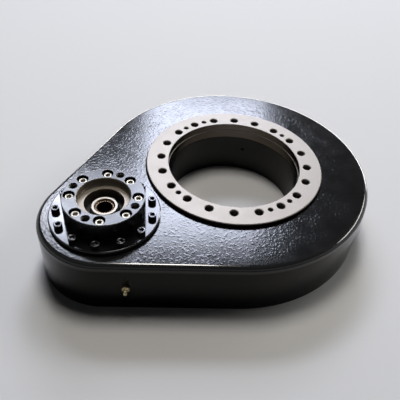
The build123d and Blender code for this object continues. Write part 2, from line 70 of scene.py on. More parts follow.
def linear(colour: str) -> tuple[float, float, float, float]:
    """Turn an sRGB hex colour into linear RGBA.

    A level v becomes v / 12.92 up to 0.04045, and ((v + 0.055) / 1.055) ** 2.4 above it.

    Args:
        colour: Six hex digits after a hash sign.

    Returns:
        Red, green, blue and an alpha of one.
    """
    levels = [int(colour[place : place + 2], 16) / 255 for place in (1, 3, 5)]
    red, green, blue = (
        level / 12.92 if level <= 0.04045 else ((level + 0.055) / 1.055) ** 2.4
        for level in levels
    )
    return (red, green, blue, 1.0)


def per_metre(size_mm: float) -> float:
    """Noise scale whose features are size_mm across."""
    return 1.0 / (size_mm * MM)


def empty_tree(owner: bpy.types.Material | bpy.types.World) -> bpy.types.NodeTree:
    """Switch a material or world to nodes and clear its tree.

    Args:
        owner: Material or world that is about to be wired.

    Returns:
        Its empty node tree.
    """
    owner.use_nodes = True
    owner.node_tree.nodes.clear()
    return owner.node_tree


def add(
    tree: bpy.types.NodeTree,
    kind: str,
    settings: dict[str, Any] | None = None,
    inputs: dict[Any, Any] | None = None,
) -> bpy.types.Node:
    """Add a node with its settings and links.

    Args:
        tree: Node tree that receives the node.
        kind: Blender's class name of the node.
        settings: Properties set on the node.
        inputs: Sockets by name or index, each a value or the output that feeds it.

    Returns:
        The new node.
    """
    node = tree.nodes.new(kind)
    for key, value in (settings or {}).items():
        setattr(node, key, value)
    for key, value in (inputs or {}).items():
        if isinstance(value, bpy.types.NodeSocket):
            tree.links.new(value, node.inputs[key])
        else:
            node.inputs[key].default_value = value
    return node


def combined(
    tree: bpy.types.NodeTree, operation: str, *terms: Any, clamp: bool = False
) -> bpy.types.NodeSocket:
    """Join numbers and sockets by one operation.

    Args:
        tree: Node tree that receives the node.
        operation: Blender's name of the operation, such as ADD.
        terms: What is joined, in order, each a number or a socket.
        clamp: Hold the result between zero and one.

    Returns:
        Socket that carries the result.
    """
    settings = {"operation": operation, "use_clamp": clamp}
    return add(tree, "ShaderNodeMath", settings, dict(enumerate(terms))).outputs[0]


def ramp(
    tree: bpy.types.NodeTree,
    value: bpy.types.NodeSocket,
    span: tuple[float, float],
    result: tuple[float, float] = (0.0, 1.0),
    smooth: bool = False,
) -> bpy.types.NodeSocket:
    """Carry a value from a span to a result, held at both ends.

    With s the value's share of the span, it gives start + (end - start) s. A smooth ramp
    has 3 s^2 - 2 s^3 in place of s.

    Args:
        tree: Node tree that receives the node.
        value: Socket that is carried.
        span: Values at which the ramp starts and ends.
        result: What it gives there.
        smooth: Ease both ends of the ramp.

    Returns:
        Socket that carries the result.
    """
    kind = "SMOOTHSTEP" if smooth else "LINEAR"
    inputs = {0: value, 1: span[0], 2: span[1], 3: result[0], 4: result[1]}
    settings = {"interpolation_type": kind, "clamp": True}
    return add(tree, "ShaderNodeMapRange", settings, inputs).outputs[0]


def between(
    tree: bpy.types.NodeTree, value: bpy.types.NodeSocket, low: float, high: float, soft: float
) -> bpy.types.NodeSocket:
    """Mask that is one from low to high and falls to zero over soft on each side.

    Args:
        tree: Material's node tree.
        value: Socket that is tested.
        low: Lower edge of the band.
        high: Upper edge of the band.
        soft: Width of each edge.

    Returns:
        Socket that carries the mask.
    """
    rise = ramp(tree, value, (low - soft, low))
    fall = ramp(tree, value, (high, high + soft), (1.0, 0.0))
    return combined(tree, "MULTIPLY", rise, fall)


class Mixed(Enum):
    """What a mix holds: Blender's data type, its first input and its output."""

    VALUE = ("FLOAT", 2, 0)
    COLOUR = ("RGBA", 6, 2)


def blended(
    tree: bpy.types.NodeTree, kind: Mixed, share: bpy.types.NodeSocket, first: Any, second: Any
) -> bpy.types.NodeSocket:
    """Value or colour that is (1 - share) first + share second.

    Args:
        tree: Material's node tree.
        kind: Whether values or colours are mixed.
        share: Socket from zero to one.
        first: Value or colour where the share is zero.
        second: Value or colour where it is one.

    Returns:
        Socket that carries the mix.
    """
    data_type, start, output = kind.value
    inputs = {0: share, start: first, start + 1: second}
    return add(tree, "ShaderNodeMix", {"data_type": data_type}, inputs).outputs[output]


def scaled(
    tree: bpy.types.NodeTree, colour: Any, level: bpy.types.NodeSocket
) -> bpy.types.NodeSocket:
    """Colour, as three numbers or a socket, times a level."""
    inputs = {0: colour, "Scale": level}
    return add(tree, "ShaderNodeVectorMath", {"operation": "SCALE"}, inputs).outputs[0]


@dataclass
class AxisFields:
    """Place from an upright axis, as sockets that masks and patterns read."""

    radius: bpy.types.NodeSocket
    x: bpy.types.NodeSocket
    height: bpy.types.NodeSocket
    place: bpy.types.NodeSocket


def axis_fields(tree: bpy.types.NodeTree, axis_x: float) -> AxisFields:
    """Radius is the length of (x - axis_x, y), x counts from the axis and height is z.

    Args:
        tree: Material's node tree.
        axis_x: Place of the upright axis along X.

    Returns:
        Sockets for radius, x, height and the centred place, in metres.
    """
    where = add(tree, "ShaderNodeTexCoord")
    centred = add(
        tree,
        "ShaderNodeMapping",
        {"vector_type": "POINT"},
        {"Vector": where.outputs["Object"], "Location": (-axis_x, 0.0, 0.0)},
    )
    flat = add(
        tree,
        "ShaderNodeVectorMath",
        {"operation": "MULTIPLY"},
        {0: centred.outputs[0], 1: (1.0, 1.0, 0.0)},
    )
    reach = add(tree, "ShaderNodeVectorMath", {"operation": "LENGTH"}, {0: flat.outputs[0]})
    parts = add(tree, "ShaderNodeSeparateXYZ", inputs={0: centred.outputs[0]})
    return AxisFields(
        reach.outputs["Value"], parts.outputs["X"], parts.outputs["Z"], centred.outputs[0]
    )


def cloudy(
    tree: bpy.types.NodeTree,
    fields: AxisFields,
    size_mm: float,
    detail: float,
    form: dict[str, float] | None = None,
) -> bpy.types.NodeSocket:
    """Noise in space.

    Args:
        tree: Material's node tree.
        fields: Place that the noise reads.
        size_mm: Size of its features.
        detail: Number of finer layers on top of the first.
        form: Further sockets of the noise by name.

    Returns:
        Socket that carries the noise.
    """
    inputs = {"Vector": fields.place, "Scale": per_metre(size_mm), "Detail": detail}
    settings = {"noise_dimensions": "3D"}
    return add(tree, "ShaderNodeTexNoise", settings, inputs | (form or {})).outputs[0]


def turned_lines(
    tree: bpy.types.NodeTree, fields: AxisFields, size_mm: float, detail: float
) -> bpy.types.NodeSocket:
    """Noise along radius plus height, the same all round the axis.

    Args:
        tree: Material's node tree.
        fields: Radius and height that the lines follow.
        size_mm: Width of a line.
        detail: Number of finer layers on top of the first.

    Returns:
        Socket that carries the lines.
    """
    along = combined(tree, "ADD", fields.radius, fields.height)
    inputs = {"W": along, "Scale": per_metre(size_mm), "Detail": detail}
    settings = {"noise_dimensions": "1D"}
    return add(tree, "ShaderNodeTexNoise", settings, inputs).outputs[0]


def eased(tree: bpy.types.NodeTree, edge_mm: float) -> bpy.types.NodeSocket:
    """Normal of the surface as if every edge were broken to a small radius.

    Args:
        tree: Material's node tree.
        edge_mm: Radius of the broken edge.

    Returns:
        Socket that carries the normal.
    """
    rays = 6
    return add(tree, "ShaderNodeBevel", {"samples": rays}, {"Radius": edge_mm * MM}).outputs[0]


def bumped(
    tree: bpy.types.NodeTree,
    height: bpy.types.NodeSocket,
    height_mm: float,
    normal: bpy.types.NodeSocket | None = None,
    strength: float = 1.0,
) -> bpy.types.NodeSocket:
    """Normal tilted by a height pattern.

    Args:
        tree: Material's node tree.
        height: Pattern from zero to one.
        height_mm: Height that one stands for.
        normal: Normal that is tilted, or the surface's own.
        strength: Share of the tilt.

    Returns:
        Socket that carries the normal.
    """
    inputs = {"Strength": strength, "Distance": height_mm * MM, "Height": height}
    if normal is not None:
        inputs["Normal"] = normal
    return add(tree, "ShaderNodeBump", inputs=inputs).outputs[0]


# --------------------------------------------------------------------------------------
# Finishes
# --------------------------------------------------------------------------------------


@dataclass(frozen=True)
class Finish:
    """One surface finish: its name, and the values that stay the same all over it.

    Sizes whose name ends in _mm are in millimetres, and other lengths are in metres. A share
    or a level has no unit.
    """

    name: str

    def wire(self, tree: bpy.types.NodeTree) -> dict[str, Any]:
        """Add the pattern's nodes; each kind of finish writes its own.

        Args:
            tree: Material's node tree.

        Returns:
            The shader's sockets by name, each a value or the output that feeds it.
        """
        raise NotImplementedError

    def build(self) -> bpy.types.Material:
        """Make the material from its pattern.

        Returns:
            The new material.
        """
        material = bpy.data.materials.new(self.name)
        tree = empty_tree(material)
        shader = add(tree, "ShaderNodeBsdfPrincipled", inputs=self.wire(tree))
        add(tree, "ShaderNodeOutputMaterial", inputs={"Surface": shader.outputs[0]})
        return material


@dataclass(frozen=True)
class CastEnamel(Finish):
    """Black gloss enamel brushed over a sand casting.

    The sand grain and the enamel's flow stand up as small rounded bumps on the flat top, which
    break a lamp's reflection into bright wrinkles. The fettled walls and edges stay smoother.
    The wrinkles are drawn a little coarser than real ones, which would be too fine to show.
    """

    colour: str = "#060607"
    roughness: float = 0.15
    roughness_drift: float = 0.02
    ior: float = 1.5
    wrinkle_mm: float = 4.2
    wrinkle_height_mm: float = 0.1
    wrinkle_detail: float = 1.5
    wrinkle_roughness: float = 0.45
    wrinkle_distortion: float = 0.35
    peak_span: tuple[float, float] = (0.47, 0.74)
    grain_mm: float = 1.9
    grain_share: float = 0.12
    swell_mm: float = 28.0
    swell_span: tuple[float, float] = (0.35, 0.65)
    swell_least: float = 0.55
    top_height: float = HOUSING_TOP
    top_below: float = 0.00001
    top_above: float = 0.01
    top_soft: float = 0.00006
    wall_share: float = 0.05
    rim_share: float = 0.12
    rim_fade: tuple[float, float] = (0.206, 0.229)
    rim_start_x: tuple[float, float] = (-0.16, -0.11)
    edge_height: float = 0.088
    gloss_rise: float = 0.004
    wall_gloss: float = 0.18
    top_gloss: float = 0.5

    def relief(
        self, tree: bpy.types.NodeTree, fields: AxisFields, swell: bpy.types.NodeSocket
    ) -> bpy.types.NodeSocket:
        """Height of the enamel: wrinkles plus a share of the grain, times the swell.

        Args:
            tree: Material's node tree.
            fields: Place on the casting.
            swell: Slow noise that makes some patches stronger than others.

        Returns:
            Socket that carries the height.
        """
        form = {"Roughness": self.wrinkle_roughness, "Distortion": self.wrinkle_distortion}
        wrinkle = cloudy(tree, fields, self.wrinkle_mm, self.wrinkle_detail, form)
        peaks = ramp(tree, wrinkle, self.peak_span, smooth=True)
        grain = cloudy(tree, fields, self.grain_mm, detail=1.0)
        small = combined(tree, "MULTIPLY_ADD", grain, self.grain_share, peaks)
        strong = ramp(tree, swell, self.swell_span, (self.swell_least, 1.0))
        return combined(tree, "MULTIPLY", small, strong)

    def spread(self, tree: bpy.types.NodeTree, fields: AxisFields) -> bpy.types.NodeSocket:
        """Share of the relief: full on the flat top, small on the walls.

        The flat top is told by its height, from just under the face upwards. On the round end
        the relief fades towards the rim, where the brush drew the enamel out.

        Args:
            tree: Material's node tree.
            fields: Place on the casting.

        Returns:
            Socket that carries the share.
        """
        low, high = self.top_height - self.top_below, self.top_height + self.top_above
        top = between(tree, fields.height, low, high, self.top_soft)
        share = ramp(tree, top, (0.0, 1.0), (self.wall_share, 1.0))
        round_end = ramp(tree, fields.x, self.rim_start_x, smooth=True)
        rim = ramp(tree, fields.radius, self.rim_fade, smooth=True)
        brushed = combined(tree, "MULTIPLY", rim, round_end)
        left_over = ramp(tree, brushed, (0.0, 1.0), (1.0, self.rim_share))
        return combined(tree, "MULTIPLY", share, left_over)

    def wire(self, tree: bpy.types.NodeTree) -> dict[str, Any]:
        """Bump height is the relief times its spread; gloss rises towards the rounded edge.

        Args:
            tree: Material's node tree.

        Returns:
            The shader's sockets by name.
        """
        fields = axis_fields(tree, 0.0)
        swell = cloudy(tree, fields, self.swell_mm, detail=1.0)
        height = combined(
            tree, "MULTIPLY", self.relief(tree, fields, swell), self.spread(tree, fields)
        )
        least, most = self.roughness - self.roughness_drift, self.roughness + self.roughness_drift
        rise = (self.edge_height - self.gloss_rise, self.edge_height)
        return {
            "Base Color": linear(self.colour),
            "Roughness": ramp(tree, swell, NOISE_SPAN, (least, most)),
            "IOR": self.ior,
            "Specular IOR Level": ramp(
                tree, fields.height, rise, (self.wall_gloss, self.top_gloss)
            ),
            "Normal": bumped(tree, height, self.wrinkle_height_mm),
        }


@dataclass(frozen=True)
class SmoothEnamel(Finish):
    """Black enamel sprayed on a turned or rolled surface.

    It mirrors its neighbours, softened by a faint orange peel, with the turning marks below it
    just showing as lines round the axis.
    """

    colour: str = "#050506"
    roughness: float = 0.16
    haze_mm: float = 30.0
    haze_drift: tuple[float, float] = (-0.03, 0.04)
    ior: float = 1.5
    axis_x: float = 0.0
    peel_mm: float = 1.8
    peel_height_mm: float = 0.012
    line_mm: float = 1.1
    line_height_mm: float = 0.006
    edge_mm: float = 0.7

    def wire(self, tree: bpy.types.NodeTree) -> dict[str, Any]:
        """Bump height is orange peel plus lines that run round the axis.

        Args:
            tree: Material's node tree.

        Returns:
            The shader's sockets by name.
        """
        fields = axis_fields(tree, self.axis_x)
        peel = cloudy(tree, fields, self.peel_mm, detail=1.0)
        peeled = bumped(tree, peel, self.peel_height_mm, eased(tree, self.edge_mm))
        lines = turned_lines(tree, fields, self.line_mm, detail=2.0)
        haze = cloudy(tree, fields, self.haze_mm, detail=2.0)
        least, most = (self.roughness + drift for drift in self.haze_drift)
        return {
            "Base Color": linear(self.colour),
            "Roughness": ramp(tree, haze, NOISE_SPAN, (least, most)),
            "IOR": self.ior,
            "Normal": bumped(tree, lines, self.line_height_mm, peeled),
        }


@dataclass(frozen=True)
class TurnedSteel(Finish):
    """Steel cut on a lathe, or ground, with its marks running round one axis.

    The marks smear a lamp into a soft pearly sheen. A second tone stands inside a radius and a
    band of heights, less a ledge: enamel on some pieces, and on others a darker tone that is
    painted shade and painted reflection.
    """

    colour: str = "#c9c5bf"
    roughness: float = 0.36
    axis_x: float = 0.0
    line_mm: float = 0.9
    line_height_mm: float = 0.006
    line_contrast: float = 0.05
    mottle_mm: float = 22.0
    mottle_share: float = 0.6
    mottle_roughness: float = 0.10
    tone_span: tuple[float, float] = (0.4, 1.2)
    edge_mm: float = 0.5
    second_colour: str = "#c9c5bf"
    second_metallic: float = 1.0
    second_roughness: float = 0.36
    second_radius: tuple[float, float] = NOWHERE
    second_height: tuple[float, float] = EVERYWHERE
    second_soft: float = 0.00005
    ledge: tuple[float, float] = NOWHERE
    ledge_soft: float = 0.00002

    def second_tone(
        self, tree: bpy.types.NodeTree, fields: AxisFields
    ) -> bpy.types.NodeSocket:
        """Mask of the second tone: in its radius and in its height less the ledge.

        Args:
            tree: Material's node tree.
            fields: Radius and height that bound it.

        Returns:
            Socket that carries the mask.
        """
        in_radius = between(tree, fields.radius, *self.second_radius, self.second_soft)
        in_height = between(tree, fields.height, *self.second_height, self.second_soft)
        ledge = between(tree, fields.height, *self.ledge, self.ledge_soft)
        off_ledge = combined(tree, "SUBTRACT", in_height, ledge, clamp=True)
        return combined(tree, "MULTIPLY", in_radius, off_ledge)

    def wire(self, tree: bpy.types.NodeTree) -> dict[str, Any]:
        """Tone follows the lines plus a share of mottle; roughness follows the mottle.

        Args:
            tree: Material's node tree.

        Returns:
            The shader's sockets by name.
        """
        fields = axis_fields(tree, self.axis_x)
        lines = turned_lines(tree, fields, self.line_mm, detail=3.0)
        mottle = cloudy(tree, fields, self.mottle_mm, detail=3.0)
        streaks = combined(tree, "MULTIPLY_ADD", mottle, self.mottle_share, lines)
        contrast = (1.0 - self.line_contrast, 1.0 + self.line_contrast)
        tone = ramp(tree, streaks, self.tone_span, contrast)
        second = self.second_tone(tree, fields)
        base = blended(
            tree, Mixed.COLOUR, second, linear(self.colour), linear(self.second_colour)
        )
        rough = blended(tree, Mixed.VALUE, second, self.roughness, self.second_roughness)
        mottled = combined(tree, "MULTIPLY_ADD", mottle, self.mottle_roughness, rough)
        return {
            "Base Color": scaled(tree, base, tone),
            "Roughness": combined(tree, "SUBTRACT", mottled, self.mottle_roughness / 2),
            "Metallic": blended(tree, Mixed.VALUE, second, 1.0, self.second_metallic),
            "Normal": bumped(tree, lines, self.line_height_mm, eased(tree, self.edge_mm)),
        }


@dataclass(frozen=True)
class PlatedSteel(Finish):
    """Small steel hardware with a thin chemical or plated skin, such as zinc or black oxide.

    The skin is even, with a fine speckle, and wears to a brighter tone on raised spots.
    """

    colour: str = "#b9b4a6"
    worn_colour: str = "#d9d6cf"
    roughness: float = 0.28
    roughness_drift: tuple[float, float] = (-0.05, 0.08)
    metallic: float = 1.0
    speckle_mm: float = 0.8
    speckle_height_mm: float = 0.01
    speckle_strength: float = 0.4
    worn_span: tuple[float, float] = (0.45, 0.75)
    worn_share: float = 0.35
    edge_mm: float = 0.4

    def wire(self, tree: bpy.types.NodeTree) -> dict[str, Any]:
        """Colour runs from skin to worn tone where the speckle noise is high.

        Args:
            tree: Material's node tree.

        Returns:
            The shader's sockets by name.
        """
        speckle = cloudy(tree, axis_fields(tree, 0.0), self.speckle_mm, detail=3.0)
        worn = ramp(tree, speckle, self.worn_span, (0.0, self.worn_share))
        least, most = (self.roughness + drift for drift in self.roughness_drift)
        return {
            "Base Color": blended(
                tree, Mixed.COLOUR, worn, linear(self.colour), linear(self.worn_colour)
            ),
            "Roughness": ramp(tree, speckle, NOISE_SPAN, (least, most)),
            "Metallic": self.metallic,
            "Normal": bumped(
                tree,
                speckle,
                self.speckle_height_mm,
                eased(tree, self.edge_mm),
                self.speckle_strength,
            ),
        }


@dataclass(frozen=True)
class MouldedPolymer(Finish):
    """Moulded rubber or nylon: dull, slightly cloudy, with a fine tool grain."""

    colour: str = "#121213"
    tone_drift: float = 0.15
    roughness: float = 0.55
    roughness_drift: float = 0.06
    ior: float = 1.52
    grain_mm: float = 0.6
    grain_height_mm: float = 0.02
    grain_strength: float = 0.5

    def wire(self, tree: bpy.types.NodeTree) -> dict[str, Any]:
        """Colour, roughness and height drift a little with a fine noise.

        Args:
            tree: Material's node tree.

        Returns:
            The shader's sockets by name.
        """
        grain = cloudy(tree, axis_fields(tree, 0.0), self.grain_mm, detail=2.0)
        tone = ramp(tree, grain, NOISE_SPAN, (1.0 - self.tone_drift, 1.0 + self.tone_drift))
        least, most = self.roughness - self.roughness_drift, self.roughness + self.roughness_drift
        return {
            "Base Color": scaled(tree, linear(self.colour)[:3], tone),
            "Roughness": ramp(tree, grain, NOISE_SPAN, (least, most)),
            "IOR": self.ior,
            "Normal": bumped(tree, grain, self.grain_height_mm, strength=self.grain_strength),
        }


class Surface(Enum):
    """The finishes that the pieces of this drive wear."""

    # Gloss black enamel on the cast body: wrinkled sheen on top, near-black walls.
    CASTING = CastEnamel("black_enamel_on_iron_casting")
    # Where the enamel flowed thick over the rounded edge: smooth, and brighter towards the top.
    EDGE = CastEnamel(
        "housing_edge_flowed_enamel",
        roughness=0.13,
        wrinkle_height_mm=0.012,
        edge_height=0.0971,
        top_gloss=1.0,
    )
    # The same enamel on the flat plate and its sleeve, duller and with a weaker reflection.
    PLATE = SmoothEnamel("black_enamel_on_turned_plate", roughness=0.2, ior=1.36)
    # Enamel on the motor flange: a near mirror that repeats the screw heads.
    FLANGE = SmoothEnamel(
        "black_enamel_on_turned_flange", axis_x=PINION_X, roughness=0.13, edge_mm=1.2
    )
    # Adapter: enamel outside, bare turned pilot and seat inside.
    ADAPTER = TurnedSteel(
        "motor_adapter_enamel_and_bare_pilot",
        colour="#7c756b",
        roughness=0.44,
        axis_x=PINION_X,
        second_colour="#07080a",
        second_metallic=0.0,
        second_roughness=0.21,
        second_radius=(0.0421, 0.08),
        edge_mm=1.0,
    )
    # Slewing ring: fine-ground pearly face. Its walls are smoother steel, painted darker as shade
    # in the bore and as the reflection of the black housing; the ledge in the bore keeps the
    # face's tone.
    RING = TurnedSteel(
        "ground_ring_steel_walls_painted_dark",
        colour="#8c8781",
        roughness=0.56,
        # Painted shade: this darker tone on the walls stands for the bore's shade and the
        # housing's dark reflection.
        second_colour="#5a524a",
        second_roughness=0.26,
        second_radius=(0.0, 0.1551),
        second_height=(0.0755, 0.1038),
        ledge=(0.09085, 0.0916),
        edge_mm=0.8,
    )
    # Hub: ground bright ring; the darker brown inside the splined mouth is painted shade and a
    # painted warm reflection.
    HUB = TurnedSteel(
        "ground_hub_and_spline_painted_brown_in_shade",
        colour="#8b867c",
        roughness=0.42,
        axis_x=PINION_X,
        # Painted shade and painted warm reflection inside the splined mouth.
        second_colour="#6a5a48",
        second_roughness=0.3,
        second_radius=(0.0, 0.0166),
    )
    RACE = TurnedSteel("hardened_race_steel", colour="#b9b5ae", roughness=0.2)
    BEARING = TurnedSteel(
        "ground_bearing_steel", colour="#c6c3be", roughness=0.16, axis_x=PINION_X
    )
    BLACK_SCREW = PlatedSteel(
        "black_oxide_screw_steel",
        colour="#4c4c4f",
        worn_colour="#6a6a6c",
        roughness=0.2,
        worn_share=0.3,
    )
    ZINC_SCREW = PlatedSteel(
        "zinc_plated_screw_steel", colour="#918c80", worn_colour="#c2beb2", roughness=0.38
    )
    NIPPLE = PlatedSteel(
        "yellow_zinc_grease_fitting", colour="#b9ab83", worn_colour="#d8d2bd", roughness=0.25
    )
    # Oiled thread steel, drawn much darker than the parts' own steel: painted shade inside the
    # tapped holes.
    THREAD = PlatedSteel(
        "oiled_thread_steel_darkened_as_shade", colour="#4a4743", worn_colour="#77736c", roughness=0.35
    )
    BRASS = TurnedSteel("machined_cage_brass", colour="#b08d4a", roughness=0.3, axis_x=PINION_X)
    RUBBER = MouldedPolymer("nitrile_seal_rubber")
    NYLON = MouldedPolymer("moulded_spacer_nylon", colour="#d9d3bf", roughness=0.42, ior=1.53)


class Wardrobe:
    """Builds each finish once and puts it on nodes and new pieces."""

    def __init__(self) -> None:
        """Start with no material made."""
        self.made: dict[Surface, bpy.types.Material] = {}

    def cloth(self, surface: Surface) -> bpy.types.Material:
        """Material of a finish, built at its first use.

        Args:
            surface: Finish that is wanted.

        Returns:
            Its material.
        """
        if surface not in self.made:
            self.made[surface] = surface.value.build()
        return self.made[surface]

    def dress(self, thing: bpy.types.Object, surface: Surface) -> None:
        """Put a finish on every slot of an object, or in a new slot where it has none.

        Args:
            thing: Node or new piece.
            surface: Finish it wears.
        """
        material = self.cloth(surface)
        if not thing.data.materials:
            thing.data.materials.append(material)
        for slot in thing.material_slots:
            slot.material = material
        log.info("dressed %s in %s", thing.name, material.name)

    def dress_nodes(self, table: dict[str, Surface]) -> None:
        """Dress several nodes by name."""
        for name, surface in table.items():
            self.dress(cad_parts[name], surface)


# --------------------------------------------------------------------------------------
# Mesh helpers: surfaces on a grid
# --------------------------------------------------------------------------------------


@dataclass
class Shell:
    """A closed surface as arrays: points (n, 3) and faces of three or four corners."""

    points: np.ndarray
    quads: np.ndarray
    triangles: np.ndarray = field(default_factory=lambda: np.empty((0, 3), dtype=int))

    def signed_volume(self) -> float:
        """Sum of the tetrahedra that each triangle makes with the origin.

        Returns:
            Volume in the points' own units, positive where the faces point out.
        """
        first = np.vstack([self.quads[:, [0, 1, 2]], self.quads[:, [0, 2, 3]], self.triangles])
        a, b, c = (self.points[first[:, corner]] for corner in range(3))
        return float(np.einsum("ij,ij->", a, np.cross(b, c)) / 6)

    def outward(self) -> "Shell":
        """Turn the faces to point out.

        Returns:
            This shell, or one with every face reversed.
        """
        if self.signed_volume() >= 0:
            return self
        return Shell(self.points, self.quads[:, ::-1], self.triangles[:, ::-1])

    def placed(self, matrices: np.ndarray) -> "Shell":
        """Copies of the shell, one for each 4 x 4 matrix, joined in one.

        Args:
            matrices: Array (k, 4, 4) of places.

        Returns:
            One shell that holds every copy.
        """
        count = len(self.points)
        padded = np.hstack([self.points, np.ones((count, 1))])
        moved = np.einsum("kij,nj->kni", matrices, padded)[:, :, :3].reshape(-1, 3)
        shift = (np.arange(len(matrices)) * count)[:, None, None]
        quads = (self.quads[None] + shift).reshape(-1, 4)
        triangles = (self.triangles[None] + shift).reshape(-1, 3)
        return Shell(moved, quads, triangles)


def grid_quads(rings: int, steps: int, joined: bool) -> np.ndarray:
    """Faces of a grid of rings.

    Point (u, v) is joined to (u + 1, v), (u + 1, v + 1) and (u, v + 1). v runs round, and so
    does u when the last ring is joined to the first.

    Args:
        rings: Number of rings.
        steps: Number of points in a ring.
        joined: Join the last ring to the first.

    Returns:
        Faces (n, 4).
    """
    bands = rings if joined else rings - 1
    u, v = (index.ravel() for index in np.indices((bands, steps)))
    next_u, next_v = (u + 1) % rings, (v + 1) % steps
    corners = [(u, v), (next_u, v), (next_u, next_v), (u, next_v)]
    return np.stack([ring * steps + step for ring, step in corners], axis=1)


def capped_shell(rows: np.ndarray) -> Shell:
    """Close a grid of rings, with its first and last rings closed to their own centres.

    Args:
        rows: Points (rings, steps, 3).

    Returns:
        The closed shell, facing out.
    """
    rings, steps, _ = rows.shape
    points = np.vstack([rows.reshape(-1, 3), rows[0].mean(0)[None], rows[-1].mean(0)[None]])
    turn = np.arange(steps)
    after = (turn + 1) % steps
    first_centre = np.full(steps, rings * steps)
    last_centre = first_centre + 1
    last = (rings - 1) * steps
    start_fan = np.stack([first_centre, turn, after], axis=1)
    end_fan = np.stack([last_centre, last + after, last + turn], axis=1)
    quads = grid_quads(rings, steps, joined=False)
    return Shell(points, quads, np.vstack([start_fan, end_fan])).outward()


def loop_shell(rows: np.ndarray) -> Shell:
    """Close a grid of rings both ways, as a section carried round an outline.

    Args:
        rows: Points (rings, steps, 3).

    Returns:
        The closed shell, facing out.
    """
    rings, steps, _ = rows.shape
    return Shell(rows.reshape(-1, 3), grid_quads(rings, steps, joined=True)).outward()


def full_turn(steps: int) -> np.ndarray:
    """Angles of a full turn in even steps."""
    return np.arange(steps) * 2 * pi / steps


def turned_rows(radius: np.ndarray, height: np.ndarray, angles: np.ndarray) -> np.ndarray:
    """Rings round the Z axis: (r cos a, r sin a, h).

    Args:
        radius: Radius of each point in millimetres (rings, steps).
        height: Height of each ring in millimetres (rings).
        angles: Angle of each step (steps).

    Returns:
        Points in metres (rings, steps, 3).
    """
    reach = radius * MM
    level = np.broadcast_to(height[:, None] * MM, reach.shape)
    return np.stack([reach * np.cos(angles), reach * np.sin(angles), level], axis=2)


def profile_shell(rings: list[tuple[Any, float]], angles: np.ndarray) -> Shell:
    """Carry a profile round the Z axis and close both ends.

    Args:
        rings: Radius and height of each ring in millimetres; a radius is one number, or one
            for each angle.
        angles: Angle of each step (steps).

    Returns:
        The closed shell, facing out.
    """
    radius = np.array([np.broadcast_to(ring[0], angles.shape) for ring in rings])
    height = np.array([ring[1] for ring in rings])
    return capped_shell(turned_rows(radius, height, angles))


def hexagon_radius(angles: np.ndarray, apothem: float) -> np.ndarray:
    """Radius of a hexagon at each angle: apothem over the cosine of the turn from its flat."""
    turn = np.mod(angles + pi / 6, pi / 3) - pi / 6
    return apothem / np.cos(turn)


def mesh_piece(name: str, shell: Shell, sharp_degrees: float = 35.0) -> bpy.types.Object:
    """Put a shell into a mesh object at the origin, smooth up to an angle.

    Args:
        name: Name of the piece.
        shell: Its points and faces.
        sharp_degrees: Edges that turn more than this stay sharp.

    Returns:
        The linked object.
    """
    mesh = bpy.data.meshes.new(name)
    faces = shell.quads.tolist() + shell.triangles.tolist()
    mesh.from_pydata(shell.points.tolist(), [], faces)
    mesh.polygons.foreach_set("use_smooth", np.ones(len(faces), dtype=bool))
    mesh.set_sharp_from_angle(angle=radians(sharp_degrees))
    mesh.update()
    piece = bpy.data.objects.new(name, mesh)
    bpy.context.scene.collection.objects.link(piece)
    return piece


def upright_places(x: np.ndarray, y: np.ndarray, height: float, angles: np.ndarray) -> np.ndarray:
    """Matrices that turn about +Z and then move to (x, y, height).

    Args:
        x: Place of each along X.
        y: Place of each along Y.
        height: Height of all.
        angles: Turn of each in radians.

    Returns:
        Array (places, 4, 4).
    """
    places = np.tile(np.eye(4), (len(angles), 1, 1))
    places[:, 0, 0] = np.cos(angles)
    places[:, 0, 1] = -np.sin(angles)
    places[:, 1, 0] = np.sin(angles)
    places[:, 1, 1] = np.cos(angles)
    places[:, 0, 3] = x
    places[:, 1, 3] = y
    places[:, 2, 3] = height
    return places


def ring_places(
    axis_x: float | np.ndarray, radius: float | np.ndarray, angles: np.ndarray, height: float
) -> np.ndarray:
    """Places round an upright axis, each turned to face outward.

    Args:
        axis_x: Place of the axis along X, one for all or one for each place.
        radius: Distance from it in metres, likewise.
        angles: Azimuth of each place in radians.
        height: Height of the places.

    Returns:
        Array (places, 4, 4).
    """
    x = axis_x + radius * np.cos(angles)
    return upright_places(x, radius * np.sin(angles), height, angles)


def circle_places(
    axis_x: float, radius: float, count: int, first_degrees: float, height: float
) -> np.ndarray:
    """Places evenly round a bolt circle.

    Args:
        axis_x: Place of the circle's axis along X.
        radius: Radius of the circle in metres.
        count: Number of places.
        first_degrees: Azimuth of the first.
        height: Height of the circle.

    Returns:
        Array (count, 4, 4).
    """
    return ring_places(axis_x, radius, radians(first_degrees) + full_turn(count), height)


# --------------------------------------------------------------------------------------
# Fasteners and threads
# --------------------------------------------------------------------------------------


